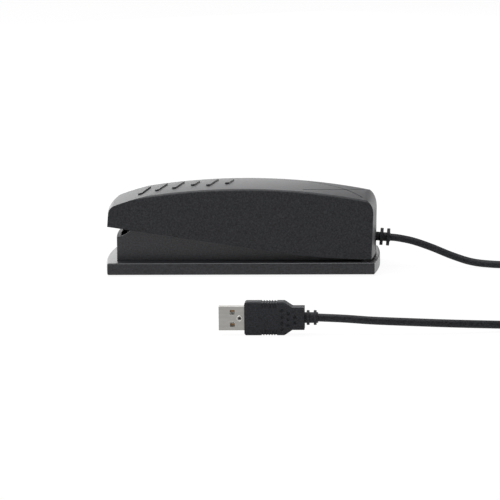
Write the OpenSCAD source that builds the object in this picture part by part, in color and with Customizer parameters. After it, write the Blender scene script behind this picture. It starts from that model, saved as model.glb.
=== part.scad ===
// Foot pedal switch with a lead and plug.
// Millimetres. +X is the cord end, -Y the near side, +Z up.
// The origin is on the floor under the plate's middle.

/* [Base plate] */
// Length of the base plate over its bowed ends
base_length = 148; // [130:1:170]
// Width of the base plate
base_width = 65; // [62:1:80]
// Thickness of the base plate
plate_thickness = 6.4; // [5.6:0.1:8]
// How far each end bows out at its middle
end_bow = 2; // [1:0.25:4]
// Rounding of the plate's edges
plate_round = 0.8; // [0.4:0.1:1.4]
// Height that the rubber feet lift the plate
foot_standoff = 0.8; // [0.5:0.1:2]
// Diameter of a rubber foot
foot_diameter = 9; // [7:0.5:9.5]

/* [Housing] */
// Wall thickness of the housing
housing_wall = 2; // [1.6:0.1:2.6]
// Floor thickness of the housing
housing_floor = 2; // [1.6:0.1:3]
// Height of the side walls above the plate
side_wall_height = 17.8; // [16:0.2:19]
// Height of the front wall above the plate
front_wall_height = 12.8; // [10:0.2:14]
// Radius of the cove between front wall and side walls
cove_radius = 12; // [8:0.5:16]
// Distance of the housing's front from the plate's end
front_gap = 5.6; // [5:0.2:9]
// Distance of the housing's rear from the plate's end
rear_gap = 7.5; // [7:0.2:9]

/* [Pedal cover] */
// Height of the pedal's crest above the floor
pedal_height = 47; // [46:0.2:52]
// Radius of the long curve along the top
top_radius = 350; // [300:5:420]
// Radius of the crown across the top
crown_radius = 300; // [250:10:340]
// Width of the pedal at crest level
top_width = 46.4; // [44:0.2:48]
// Outward slope of the side skirts
side_draft = 10.75; // [8:0.25:12]
// Rounding between top and sides
top_round = 1.6; // [1.2:0.1:2.4]
// Rounding between top and toe
toe_round = 5; // [4:0.25:8]
// Radius of the top's fall toward the toe
toe_fall = 140; // [110:5:200]
// Backward lean of the toe
toe_lean = 5; // [0:0.5:8]
// Rounding between top and heel
heel_round = 8; // [5:0.25:10]
// Outward lean of the heel
heel_lean = 1.4; // [0:0.1:3]
// Distance of the heel from the plate's end
heel_gap = 1.6; // [1.2:0.1:2.2]
// Thickness of the side walls
pedal_wall = 2; // [1.6:0.1:2.2]
// Thickness of the top
pedal_top_wall = 2.4; // [2:0.1:3.2]
// Thickness of the toe and heel walls
pedal_end_wall = 2.2; // [1.8:0.1:2.6]
// Gap between the skirt's low end and the plate
skirt_gap = 1.3; // [1.1:0.1:2]
// Rise of the skirt's edge toward the toe
skirt_angle = 8.3; // [7.5:0.1:9]
// Radius of the skirt's edge under the heel
skirt_curve = 350; // [280:10:420]

/* [Tread] */
// Width of a tread bar
bar_width = 2.5; // [1.6:0.1:3.5]
// Height of a tread bar
bar_height = 0.8; // [0.4:0.1:1.2]
// Length of the longer bars
bar_long = 22; // [18:0.5:28]
// Length of the shorter bars
bar_short = 14; // [10:0.5:17]
// Distance from bar to bar
bar_pitch = 9.3; // [7:0.1:10]
// Slant of the bars
bar_rake = 9.5; // [0:0.5:15]
// Width of a heel groove
groove_width = 0.8; // [0.5:0.1:1.4]
// Depth of a heel groove
groove_depth = 0.4; // [0.2:0.1:0.8]

/* [Hinge] */
// Distance of the hinge from the plate's rear end
hinge_setback = 16; // [15:0.5:18]
// Height of the hinge above the plate
hinge_height = 7.8; // [7.4:0.2:8.4]
// Diameter of a hinge pin
pin_diameter = 4; // [3:0.1:4.6]
// Travel of the pedal in degrees
pedal_travel = 5.5; // [4:0.25:5.75]
// Radial clearance of the pedal on its pins
pin_clearance = 0.05; // [0.02:0.01:0.1]
// Least gap between pedal and housing sides
side_gap = 0.75; // [0.6:0.05:1.2]

/* [Switch and spring] */
// Length of the switch body
switch_length = 20; // [18:0.25:22]
// Thickness of the switch body
switch_thickness = 6.4; // [5.6:0.1:7.2]
// Height of the switch body
switch_height = 10.2; // [9.6:0.1:11]
// Length of the switch lever
lever_length = 19; // [18:0.25:21]
// Rest angle of the switch lever
lever_angle = 11; // [10:0.1:11.2]
// Outside diameter of the return spring
spring_diameter = 12; // [11.5:0.25:14]
// Diameter of the spring wire
spring_wire = 1; // [0.8:0.1:1.2]

/* [Board] */
// Length of the circuit board
board_length = 28; // [26:0.5:32]
// Width of the circuit board
board_width = 32; // [28:0.5:36]
// Thickness of the circuit board
board_thickness = 1.6; // [1:0.1:2]

/* [Lead] */
// Diameter of the cord
cord_diameter = 4; // [3.4:0.1:4.2]
// Diameter of the strain relief's outer flanges
relief_flange = 9.4; // [8:0.2:10]
// Width of the plug's metal shell
shell_width = 12; // [11.6:0.1:12.2]
// Thickness of the plug's metal shell
shell_thickness = 4.5; // [4.3:0.1:4.7]
// Free length of the plug's metal shell
shell_length = 12.8; // [11:0.1:13]
// Width of the plug's grip
grip_width = 16.8; // [15.5:0.1:18]
// Thickness of the plug's grip
grip_thickness = 8; // [7.4:0.1:9]
// Length of the plug's grip
grip_length = 29.8; // [28:0.2:34]

/* [Hidden] */
$fa = 1;
$fs = 0.35;
// Facets of the largest rounds
large_fn = 720;
// How far cutters run past what they cut
past = 1;
// Reach of large cutting shapes
reach = 60;

// Heights and ends of the base
plate_low = foot_standoff;
plate_top = foot_standoff + plate_thickness;
half_length = base_length / 2;
bow_radius = (base_width * base_width / 4 + end_bow * end_bow) / (2 * end_bow);
foot_sink = 1;
foot_clear = 0.1;
foot_bevel = 0.3;
foot_inset_x = 11;
foot_inset_y = 5.5;
foot_x = half_length - foot_inset_x;
foot_y = base_width / 2 - foot_diameter / 2 - foot_inset_y;

// Housing
floor_top = plate_top + housing_floor;
side_top = plate_top + side_wall_height;
front_top = plate_top + front_wall_height;
front_x = -half_length + front_gap;
rear_x = half_length - rear_gap;
cove_x = front_x - 0.3;

// Pedal
crest_z = pedal_height;
draft = tan(side_draft);
draft_stretch = sqrt(1 + draft * draft);
toe_inset = 1;
fall_length = 38;
fall_step = 2;
heel_x = half_length - heel_gap;
toe_x = half_length - toe_inset;
section_depth = 55;
sweep_angle = 44;
corner_lift = 0.03;
corner_steps = 7;
skirt_z = plate_top + skirt_gap;
hinge_x = half_length - hinge_setback;
hinge_z = plate_top + hinge_height;
pin_radius = pin_diameter / 2;
pin_press = 0.02;
hinge_boss_radius = pin_radius + 3;
hinge_face_gap = 0.4;
hinge_skin = 0.6;
hinge_end_gap = 0.1;
pin_hold = 4.5;

function top_at(x) = crest_z - top_radius + sqrt(top_radius * top_radius - x * x);
function drop_at(x) = (hinge_x - x) * sin(pedal_travel);
function outer_half(x, z) = top_width / 2 + draft * (top_at(x) - z);

// The housing sides clear the pressed pedal where the side walls reach full height
rim_x = front_x + 10;
rim_depth = top_at(rim_x) - drop_at(rim_x) - side_top;
housing_half = top_width / 2 - pedal_wall * draft_stretch + draft * rim_depth - side_gap;
inner_half = housing_half - housing_wall;
boss_face = housing_half + hinge_face_gap;
bore_end = outer_half(hinge_x, hinge_z + pin_radius) - hinge_skin;
pin_start = housing_half - pin_hold;
pin_end = bore_end - hinge_end_gap;

// Screws under the plate
base_screw_radius = 1.5;
base_head_radius = 2.7;
base_head_height = 2;
base_screw_fit = 0.02;
base_screw_clear = 0.1;
base_counterbore = 3.2;
base_boss_radius = 3.2;
base_boss_height = 7.5;
base_screw_length = 11;
base_screw_y = inner_half - base_boss_radius - 0.3;
base_screw_front = front_x + 10.4;
base_screw_rear = hinge_x - 12;

// Small screws of switch and board
small_radius = 1;
small_head_radius = 1.9;
small_head_height = 1.2;
small_fit = 0.02;
small_clear = 0.05;

// Switch
switch_x = hinge_x - 23;
switch_low = floor_top + 5.6;
switch_top = switch_low + switch_height;
switch_half = switch_thickness / 2;
bracket_thickness = 3.3;
bracket_height = 12.8;
switch_hole_spacing = 9.5;
switch_hole_z = switch_low + 2.7;
lever_pin_x = switch_x + switch_length / 2 - 1.5;
lever_pin_z = switch_top + 0.7;
lever_pin_radius = 0.6;
lever_pin_clear = 0.05;
knuckle_radius = 1.1;
lever_half = 2.3;
lever_thickness = 0.5;
lever_notch_depth = 0.8;
lever_notch_length = 2.9;
ear_rise = 1.5;
ear_inner = 2.6;
plunger_offset = 6.5;
plunger_radius = 1.2;
plunger_fit = 0.05;
plunger_gap = 0.3;
plunger_depth = 5;
plunger_pocket = 7;
plunger_x = lever_pin_x - plunger_offset;
lever_under = lever_thickness / 2 / cos(lever_angle);
plunger_top = lever_pin_z + plunger_offset * tan(lever_angle) - lever_under - plunger_gap;
terminal_length = 4.6;
terminal_width = 3;
terminal_thickness = 0.6;
terminal_spacing = 8;

// Post of the pedal that presses the lever
post_gap = 0.33;
post_offset = 15;
post_half = 1.8;
post_width = 8;
post_x = lever_pin_x - post_offset;
post_low = lever_pin_z + post_offset * tan(lever_angle) + lever_under + post_gap;

// Spring and its seats
spring_x = -34;
spring_gap = 0.3;
spring_low = floor_top + spring_gap;
spring_height = 23.5;
spring_radius = (spring_diameter - spring_wire) / 2;
spring_curls = 8;
spring_rings = 8;
wire_sides = 6;
seat_radius = spring_radius - spring_wire / 2 - 1;
seat_height = 5;
spring_post_radius = spring_diameter / 2 + 1;
spring_post_low = spring_low + spring_height + spring_gap;
spring_pin_radius = seat_radius - 1;
spring_pin_length = 4;

// Posts that stop the pedal on the housing floor
stop_x = -50;
stop_y = 11;
stop_radius = 3;
stop_gap = 0.4;
stop_low = floor_top + drop_at(stop_x - stop_radius) + stop_gap;
rib_y = 9;
rib_half = 0.8;
rib_depth = 4;
rib_front = -62;
rib_rear = 50;

// Board and what it carries
board_x = switch_x - 35;
board_low = floor_top + 4;
board_top = board_low + board_thickness;
board_post_radius = 2.4;
board_hole_x = board_length / 2 - 3;
board_hole_y = min(board_width / 2, inner_half - 0.5) - 3;
board_half_y = min(board_width / 2, inner_half - 0.5);
board_screw_length = board_thickness + 3.2;
chip_x = board_x - 3;
chip_size = 9;
chip_height = 1.5;
header_x = board_x + 11.5;
header_pitch = 1.8;
header_height = 3;
header_y = -9;
pad_y = 7;
pad_pitch = 2.6;
pad_height = 0.6;
pad_radius = 1;

// Strain relief
relief_z = plate_top + 10.2;
relief_neck = 3;
relief_neck_clear = 0.1;
relief_core = 2.4;
relief_inner_flange = 5;
relief_inner_length = 2;
relief_outer_length = 1.2;
relief_tail = 12;
relief_droop = 5;
relief_flange_length = 1.7;
relief_flange_first = 7.2;
relief_flange_second = 10.8;
relief_wall_clear = 0.1;
relief_in = rear_x - housing_wall - relief_wall_clear;
relief_out = rear_x + relief_wall_clear;
relief_root = relief_out + relief_outer_length;
relief_end = [relief_root + relief_tail * cos(relief_droop), 0, relief_z - relief_tail * sin(relief_droop)];
notch_radius = 5.5;
notch_rise = 0.8;

// Cord inside the housing
tail_start = relief_in - relief_inner_length;
tail_length = 10;
tail_end = tail_start - tail_length;
wire_radius = 0.45;

// Cord outside
cord_radius = cord_diameter / 2;
cord_sides = 8;
coil_centre = [186, -108];
coil_turns = 10;
coil_layers = 4;
coil_inner = 16.25;
coil_outer = 27.75;
coil_lift = 1;
coil_layer = 4.6;
coil_rings = 24;
coil_sides = 6;
coil_climb = 0.15;
coil_low = 2 + coil_lift;
coil_high = coil_low + coil_layer * (coil_layers - 1);
tie_thickness = 0.6;
tie_clear = 0.4;
tie_width = 9;
tie_round = 3;

// Plug
plug_y = -219.5;
plug_z = grip_width / 2;
plug_tip = -0.3;
grip_start = plug_tip + shell_length;
shell_wall = 0.3;
shell_hold = 6;
shell_fit = 0.02;
window_size = 2.3;
window_from_tip = 6.8;
window_spread = 3.1;
tongue_width = shell_width - 2 * shell_wall - 0.2;
tongue_offset = 0.1;
tongue_thickness = shell_thickness / 2 - shell_wall - tongue_offset;
tongue_back = 0.6;
contact_width = 1.1;
contact_pitch = 2.3;
contact_thickness = 0.25;
contact_length = 8;
contact_inset = 1.2;
grip_round = 1.2;
grip_neck = 5.6;
grip_taper_start = grip_start + grip_length * 0.66;
grip_taper_end = grip_start + grip_length * 0.8;
grip_end = grip_start + grip_length;
grip_groove = 0.55;
grip_groove_count = 6;
grip_groove_pitch = 1.35;
grip_groove_start = grip_start + 9;
plug_relief_length = 6.7;
plug_relief_core = 2.7;
plug_relief_rib = 3.7;
plug_relief_rib_length = 1.3;
plug_relief_gap = 1.1;
plug_end = [grip_end + plug_relief_length, plug_y, plug_z];

// Free cord from the heel to the coil
run_points = [
  relief_end,
  [84, 0, 15.9], [92, 0, 14.2], [102, -0.5, 10.8], [113, -1.5, 6.4], [124, -3, 3.1], [136, -5, 2],
  [150, -8, 2], [165, -12, 2], [180, -18, 2], [194, -27, 2], [205, -40, 2], [211, -56, 2.2],
  [213.5, -74, 2.6], [213.75, -92, 3], [coil_centre[0] + coil_outer, coil_centre[1], coil_low]
];

// Free cord from the coil to the plug
plug_points = [
  [coil_centre[0] + coil_outer, coil_centre[1], coil_high],
  [213.75, -122, 16.8], [213, -134, 15.5], [210.5, -148, 10.5], [205, -162, 5.5], [196, -176, 2.8],
  [183, -189, 2], [166, -200, 2], [148, -208.5, 2.7], [130, -214.5, 4], [112, -218, 5.1],
  [94, -219.3, 6], [76, -219.5, 6.8], [62, -219.5, 7.8],
  plug_end
];

// Smooth route through chosen points, with one ring between each pair
function point_at(list, i) = list[max(0, min(len(list) - 1, i))];
function between(a, b, c, d, t) =
  0.5 * ((2 * b) + (c - a) * t + (2 * a - 5 * b + 4 * c - d) * t * t + (3 * b - a - 3 * c + d) * t * t * t);
function smooth(list, steps) = concat(
  [for (i = [0 : len(list) - 2])
    for (s = [0 : steps - 1])
      between(point_at(list, i - 1), list[i], list[i + 1], point_at(list, i + 2), s / steps)],
  [list[len(list) - 1]]);
function unit(v) = v / norm(v);
function along(path, i) = unit(point_at(path, i + 1) - point_at(path, i - 1));

// A tube of round section along a path that never runs straight up
module tube(path, radius, sides) {
  count = len(path);
  rings = [for (i = [0 : count - 1])
    let (
      t = along(path, i),
      side = unit(cross([0, 0, 1], t)),
      lift = cross(t, side)
    )
    for (k = [0 : sides - 1])
      path[i] + radius * (cos(360 * k / sides) * side + sin(360 * k / sides) * lift)];
  walls = [for (i = [0 : count - 2])
    for (k = [0 : sides - 1])
      let (n = (k + 1) % sides, low = i * sides, high = low + sides)
        each [[low + k, high + k, high + n], [low + k, high + n, low + n]]];
  start = [for (k = [0 : sides - 1]) k];
  stop = [for (k = [sides - 1 : -1 : 0]) (count - 1) * sides + k];
  polyhedron(rings, concat(walls, [start, stop]));
}

// Distance between two tubes' surfaces, as the least over their rings
function least_gap(path, radius, skip) = min(
  [for (i = [0 : len(path) - 1])
    for (j = [i + skip : 1 : len(path) - 1])
      norm(path[i] - path[j])]) - 2 * radius;

// Coil in flat layers that wind in and out by turns
layer_turns = coil_turns / coil_layers;
function coil_radius(layer, part) =
  let (share = layer == coil_layers - 1 ? part : min(1, part / (1 - coil_climb / layer_turns)))
  let (way = (coil_outer - coil_inner) * share)
  layer % 2 == 0 ? coil_outer - way : coil_inner + way;
function coil_rise(layer, part) =
  let (climb_start = 1 - coil_climb / layer_turns)
  layer == coil_layers - 1 || part < climb_start ? 0 : (part - climb_start) / (1 - climb_start);
function coil_point(turn) =
  let (
    layer = min(coil_layers - 1, floor(turn / layer_turns)),
    part = turn / layer_turns - layer,
    r = coil_radius(layer, part),
    z = coil_low + coil_layer * (layer + coil_rise(layer, part))
  )
  [coil_centre[0] + r * cos(-360 * turn), coil_centre[1] + r * sin(-360 * turn), z];
coil_path = [for (i = [0 : coil_turns * coil_rings]) coil_point(i / coil_rings)];
echo(coil_gap = least_gap(coil_path, cord_radius, coil_rings / 3));

// Spring wire, with closed first and last curls
spring_count = spring_curls * spring_rings;
function spring_rise(s) =
  let (end = 1 / spring_curls, thick = spring_wire * 1.5, free = spring_height - spring_wire - 2 * thick)
  s < end ? thick * s / end
  : s > 1 - end ? thick + free + thick * (s - 1 + end) / end
  : thick + free * (s - end) / (1 - 2 * end);
spring_path = [for (i = [0 : spring_count])
  let (s = i / spring_count, a = 360 * spring_curls * s)
    [spring_x + spring_radius * cos(a), spring_radius * sin(a), spring_low + spring_wire / 2 + spring_rise(s)]];
echo(spring_gap_least = least_gap(spring_path, spring_wire / 2, 4));

// Base plate: a rounded section along X, cut to rounded bowed ends
module plate_section() {
  w = base_width / 2 - plate_round;
  for (y = [-w, w])
    for (z = [plate_low + plate_round, plate_top - plate_round])
      translate([y, z]) circle(plate_round);
  translate([-base_width / 2, plate_low + plate_round]) square([base_width, plate_thickness - 2 * plate_round]);
  translate([-w, plate_low]) square([2 * w, plate_thickness]);
}

module plate_disc() {
  r = bow_radius - plate_round;
  translate([half_length - bow_radius, 0, 0]) rotate_extrude($fn = large_fn) {
    for (z = [plate_low + plate_round, plate_top - plate_round])
      translate([r, z]) circle(plate_round);
    translate([0, plate_low]) square([r, plate_thickness]);
    translate([0, plate_low + plate_round]) square([bow_radius, plate_thickness - 2 * plate_round]);
  }
}

module at_feet() {
  for (x = [-foot_x, foot_x])
    for (y = [-foot_y, foot_y])
      translate([x, y, 0]) children();
}

module at_base_screws() {
  for (x = [base_screw_front, base_screw_rear])
    for (y = [-base_screw_y, base_screw_y])
      translate([x, y, 0]) children();
}

module base_plate() {
  color([0.2, 0.2, 0.21]) difference() {
    intersection() {
      rotate([90, 0, 90]) linear_extrude(base_length + 2 * past, center = true) plate_section();
      plate_disc();
      mirror([1, 0, 0]) plate_disc();
    }
    at_feet() translate([0, 0, plate_low - past])
      cylinder(h = foot_sink + past, r = foot_diameter / 2 + foot_clear);
    at_base_screws() {
      translate([0, 0, -past])
        cylinder(h = plate_low + base_counterbore + past, r = base_head_radius + 0.3);
      cylinder(h = plate_top + past, r = base_screw_radius + base_screw_clear);
    }
  }
}

module rubber_feet() {
  foot_radius = foot_diameter / 2;
  color([0.1, 0.1, 0.1]) at_feet() rotate_extrude()
    polygon([[0, 0], [foot_radius - foot_bevel, 0], [foot_radius, foot_bevel],
      [foot_radius, plate_low + foot_sink], [0, plate_low + foot_sink]]);
}

module base_screws() {
  head_low = plate_low + base_counterbore - base_head_height;
  color([0.7, 0.7, 0.72]) at_base_screws() difference() {
    union() {
      translate([0, 0, head_low]) cylinder(h = base_head_height, r = base_head_radius);
      translate([0, 0, head_low + base_head_height]) cylinder(h = base_screw_length, r = base_screw_radius);
    }
    for (a = [0, 90])
      rotate([0, 0, a]) translate([0, 0, head_low + base_head_height / 4])
        cube([base_head_radius * 1.2, 0.7, base_head_height], center = true);
  }
}

// Plan of the housing with bowed ends
module housing_plan(inset) {
  end_radius = bow_radius - inset;
  intersection() {
    translate([-half_length, inset - housing_half]) square([base_length, 2 * (housing_half - inset)]);
    translate([front_x + bow_radius, 0]) circle(end_radius, $fn = large_fn);
    translate([rear_x - bow_radius, 0]) circle(end_radius, $fn = large_fn);
  }
}

module along_y(length) {
  rotate([90, 0, 0]) linear_extrude(length, center = true) children();
}

module base_housing() {
  shaft_top = plate_low + base_counterbore + base_screw_length + past;
  color([0.23, 0.23, 0.24]) difference() {
    union() {
      difference() {
        translate([0, 0, plate_top]) linear_extrude(side_wall_height) housing_plan(0);
        translate([0, 0, floor_top]) linear_extrude(side_wall_height) housing_plan(housing_wall);
      }
      at_base_screws() translate([0, 0, floor_top - past])
        cylinder(h = base_boss_height + past, r = base_boss_radius);
      for (side = [-1, 1])
        translate([hinge_x, side * (housing_half - pin_hold / 2), hinge_z]) rotate([90, 0, 0])
          cylinder(h = pin_hold, r = hinge_boss_radius, center = true);
      translate([spring_x, 0, floor_top - past]) cylinder(h = seat_height + past, r = seat_radius);
      at_board_screws() translate([0, 0, floor_top - past])
        cylinder(h = board_low - floor_top + past, r = board_post_radius);
      switch_bracket();
    }
    along_y(4 * housing_half) {
      translate([cove_x, front_top + cove_radius]) circle(cove_radius);
      translate([cove_x - reach, front_top]) square([reach, reach]);
    }
    at_base_screws() translate([0, 0, plate_top - past])
      cylinder(h = shaft_top - plate_top + past, r = base_screw_radius + base_screw_fit);
    at_board_screws() translate([0, 0, board_top - board_screw_length - 0.2])
      cylinder(h = reach, r = small_radius + small_fit);
    at_switch_screws() translate([0, 0, switch_half - past])
      cylinder(h = bracket_thickness - 0.3 + past, r = small_radius + small_fit);
    for (side = [-1, 1])
      translate([hinge_x, side * (housing_half - pin_hold / 2), hinge_z]) rotate([90, 0, 0])
        cylinder(h = pin_hold + 2 * past, r = pin_radius + pin_press, center = true);
    rear_slot();
  }
}

// Slot for the strain relief's neck, open at the top of the rear wall
module rear_slot() {
  slot_half = relief_neck + relief_neck_clear;
  translate([rear_x - housing_wall - past, 0, relief_z]) rotate([0, 90, 0])
    cylinder(h = housing_wall + 2 * past, r = slot_half);
  translate([rear_x - housing_wall - past, -slot_half, relief_z])
    cube([housing_wall + 2 * past, 2 * slot_half, reach]);
}

module switch_bracket() {
  web = 2;
  web_reach = 5;
  translate([switch_x - switch_length / 2, switch_half, floor_top - past])
    cube([switch_length, bracket_thickness, bracket_height + past]);
  for (x = [switch_x - switch_length / 2, switch_x + switch_length / 2 - web])
    translate([x, switch_half, floor_top - past])
      cube([web, bracket_thickness + web_reach, bracket_height / 2]);
}

// Screw axes of the switch, pointing along +Y
module at_switch_screws() {
  for (s = [-0.5, 0.5])
    translate([switch_x + s * switch_hole_spacing, 0, switch_hole_z]) rotate([-90, 0, 0]) children();
}

module at_board_screws() {
  for (x = [board_x - board_hole_x, board_x + board_hole_x])
    for (y = [-board_hole_y, board_hole_y])
      translate([x, y, 0]) children();
}

module hinge_pins() {
  color([0.75, 0.75, 0.77]) for (side = [-1, 1])
    translate([hinge_x, side * (pin_start + pin_end) / 2, hinge_z]) rotate([90, 0, 0])
      cylinder(h = pin_end - pin_start, r = pin_radius, center = true);
}

// Points along an arc, without its last one
function arc(centre, radius, from, to, steps) =
  [for (i = [0 : steps - 1])
    let (a = from + (to - from) * i / steps)
      centre + radius * [cos(a), sin(a)]];

// Cross section of the pedal: distance from the long curve's axis against Y
module pedal_section(top_in, side_in, round) {
  crown = crown_radius - top_in;
  half = top_width / 2 - side_in * draft_stretch + draft * top_in;
  span = half - round * draft_stretch;
  qa = 1 + draft * draft;
  qb = 2 * span * draft - 2 * crown;
  qc = span * span + crown * crown - (crown - round) * (crown - round);
  sink = (-qb - sqrt(qb * qb - 4 * qa * qc)) / (2 * qa);
  centre = [-sink, span + draft * sink];
  outward = unit(centre + [crown, 0]);
  on_top = centre + round * outward;
  flank = concat(
    [[-section_depth, half + draft * section_depth]],
    arc(centre, round, atan2(1, draft), atan2(outward[1], outward[0]), corner_steps),
    [on_top + corner_lift * outward, on_top + 10 * outward]);
  other = [for (i = [len(flank) - 1 : -1 : 0]) [flank[i][0], -flank[i][1]]];
  translate([top_radius - top_in, 0]) intersection() {
    translate([-crown, 0]) circle(crown, $fn = large_fn);
    polygon(concat(flank, other));
  }
}

// The top and sides, swept about the axis of the long curve
module pedal_sweep(top_in, side_in, round) {
  translate([0, 0, crest_z - top_radius]) rotate([-90, 0, 0]) rotate([0, 0, -90 - sweep_angle / 2])
    rotate_extrude(angle = sweep_angle, $fn = large_fn) pedal_section(top_in, side_in, round);
}

// A bowed end with a lean and a rounded upper corner, on the +X side. The top falls toward it along an arc
// from fall_x on, or along the long curve where fall is its radius
module pedal_end(end_x, top_in, end_in, lean, round, fall, fall_x) {
  from_upright = asin(fall_x / top_radius);
  fall_axis = [0, crest_z - top_radius]
    + (top_radius - fall + corner_lift) * [sin(from_upright), cos(from_upright)];
  corner_x = end_x - end_in - round;
  corner_z = fall_axis[1] + sqrt(pow(fall - top_in - round, 2) - pow(corner_x - fall_axis[0], 2));
  corner = [corner_x, corner_z];
  turn = atan2(corner_z - fall_axis[1], corner_x - fall_axis[0]);
  steps = max(1, ceil((90 - from_upright - turn) / fall_step));
  on_end = corner + round * [cos(lean), -sin(lean)];
  foot = [on_end[0] - (on_end[1] + past) * tan(lean), -past];
  on_top = fall_axis + (fall - top_in) * [sin(from_upright), cos(from_upright)];
  ridge = on_top + reach * [-cos(from_upright), sin(from_upright)];
  hub = [end_x - bow_radius, 0];
  rim = concat(
    [foot],
    arc(corner, round, -lean, turn, corner_steps),
    arc(fall_axis, fall - top_in, turn, 90 - from_upright, steps),
    [on_top, ridge]);
  translate([hub[0], 0, 0]) rotate_extrude($fn = large_fn)
    polygon(concat([[0, -past]], [for (at = rim) at - hub], [[0, ridge[1]]]));
}

module toe_end(top_in, end_in, round) {
  mirror([1, 0, 0]) pedal_end(toe_x, top_in, end_in, -toe_lean, round, toe_fall, toe_x - fall_length);
}

module pedal_form(top_in, side_in, end_in, round, toe_corner, heel_corner) {
  intersection() {
    pedal_sweep(top_in, side_in, round);
    pedal_end(heel_x, top_in, end_in, heel_lean, heel_corner, top_radius, heel_x - heel_round);
    toe_end(top_in, end_in, toe_corner);
  }
}

module pedal_outside() {
  pedal_form(0, 0, 0, top_round, toe_round, heel_round);
}

module pedal_inside() {
  pedal_form(pedal_top_wall, pedal_wall, pedal_end_wall, 1, toe_round - pedal_end_wall,
    heel_round - pedal_end_wall);
}

// Everything above the skirt's lower edge: straight from the toe, then a long curve under the heel
module above_skirt() {
  curve_steps = 12;
  centre = [half_length, skirt_z + skirt_curve];
  edge = arc(centre, skirt_curve, -90, -90 - skirt_angle, curve_steps);
  turn = centre - skirt_curve * [sin(skirt_angle), cos(skirt_angle)];
  front_z = turn[1] + (turn[0] + base_length) * tan(skirt_angle);
  along_y(2 * base_width) polygon(concat(
    [[-base_length, 2 * reach], [base_length, 2 * reach], [base_length, skirt_z]],
    edge,
    [turn, [-base_length, front_z]]));
}

module tread_bars() {
  first_x = -54;
  for (i = [0 : 5]) {
    length = (i == 3 || i == 5 ? bar_short : bar_long) - bar_width;
    translate([first_x + i * bar_pitch, 0, crest_z - 15]) rotate([0, 0, -bar_rake])
      linear_extrude(30) {
        square([bar_width, length], center = true);
        for (s = [-0.5, 0.5])
          translate([0, s * length]) circle(bar_width / 2);
      }
  }
}

// Two crossing arcs on the heel, as upright rings
module heel_arcs() {
  arc_radius = 60;
  arc_x = 9;
  arc_y = 38;
  arc_start = 33;
  arc_reach = 17;
  for (s = [-1, 1])
    translate([0, 0, crest_z - 15]) linear_extrude(30) intersection() {
      translate([arc_x, s * arc_y]) difference() {
        circle(arc_radius + groove_width / 2);
        circle(arc_radius - groove_width / 2);
      }
      translate([arc_start, -arc_reach]) square([half_length, 2 * arc_reach]);
    }
}

// Bosses, posts and ribs inside the pedal, before they are trimmed to its outside
module pedal_fittings() {
  for (side = [-1, 1])
    translate([hinge_x, side * (boss_face + reach / 2), hinge_z]) rotate([90, 0, 0])
      cylinder(h = reach, r = hinge_boss_radius, center = true);
  translate([spring_x, 0, spring_post_low]) cylinder(h = reach, r = spring_post_radius);
  translate([spring_x, 0, spring_post_low - spring_pin_length]) cylinder(h = reach, r = spring_pin_radius);
  for (y = [-stop_y, stop_y])
    translate([stop_x, y, stop_low]) cylinder(h = reach, r = stop_radius);
  along_y(post_width) {
    translate([post_x, post_low + post_half]) circle(post_half);
    translate([post_x - post_half, post_low + post_half]) square([2 * post_half, reach]);
  }
  for (y = [-rib_y, rib_y])
    difference() {
      translate([rib_front, y - rib_half, 0]) cube([rib_rear - rib_front, 2 * rib_half, 2 * reach]);
      pedal_sweep(pedal_top_wall + rib_depth, pedal_wall, 1);
    }
}

module pedal_cover() {
  color([0.16, 0.16, 0.17]) difference() {
    intersection() {
      union() {
        difference() {
          union() {
            pedal_outside();
            intersection() {
              pedal_sweep(-bar_height, 0, top_round);
              toe_end(-bar_height, 0, toe_round);
              tread_bars();
            }
          }
          pedal_inside();
        }
        intersection() {
          pedal_fittings();
          pedal_outside();
        }
      }
      above_skirt();
    }
    for (side = [-1, 1])
      translate([hinge_x, side * (bore_end + boss_face - past) / 2, hinge_z]) rotate([90, 0, 0])
        cylinder(h = bore_end - boss_face + past, r = pin_radius + pin_clearance, center = true);
    difference() {
      heel_arcs();
      pedal_sweep(groove_depth, 0, top_round);
    }
    translate([rear_x, 0, relief_z + notch_rise]) rotate([0, 90, 0]) cylinder(h = reach, r = notch_radius);
    translate([rear_x, -notch_radius, -past]) cube([reach, 2 * notch_radius, relief_z + notch_rise + past]);
  }
}

// Microswitch body with ears and a pin for the lever
module switch_body() {
  notch_x = lever_pin_x - lever_notch_length / 2;
  ear_half = 1.2;
  color([0.1, 0.1, 0.11]) {
    difference() {
      translate([switch_x - switch_length / 2, -switch_half, switch_low])
        cube([switch_length, switch_thickness, switch_height]);
      translate([notch_x, -switch_thickness, switch_top - lever_notch_depth])
        cube([switch_length, 2 * switch_thickness, switch_height]);
      translate([plunger_x, 0, switch_top - plunger_pocket])
        cylinder(h = switch_height, r = plunger_radius + plunger_fit);
      at_switch_screws() cylinder(h = 2 * switch_thickness, r = small_radius + small_clear, center = true);
    }
    for (side = [-1, 1])
      translate([lever_pin_x, side * (switch_half + ear_inner) / 2, 0])
        along_y(switch_half - ear_inner) {
          translate([-ear_half, switch_top - lever_notch_depth]) square([2 * ear_half, ear_rise]);
          translate([0, lever_pin_z]) circle(ear_half);
        }
    translate([lever_pin_x, 0, lever_pin_z]) rotate([90, 0, 0])
      cylinder(h = 2 * ear_inner + 0.2, r = lever_pin_radius, center = true);
  }
}

module switch_lever() {
  color([0.78, 0.78, 0.8]) translate([lever_pin_x, 0, lever_pin_z]) rotate([0, lever_angle, 0])
    difference() {
      union() {
        along_y(2 * lever_half) circle(knuckle_radius);
        translate([-lever_length, -lever_half, -lever_thickness / 2])
          cube([lever_length, 2 * lever_half, lever_thickness]);
      }
      along_y(4 * lever_half) circle(lever_pin_radius + lever_pin_clear);
    }
}

module switch_plunger() {
  color([0.75, 0.2, 0.15]) translate([plunger_x, 0, plunger_top - plunger_depth])
    cylinder(h = plunger_depth, r = plunger_radius);
}

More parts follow.
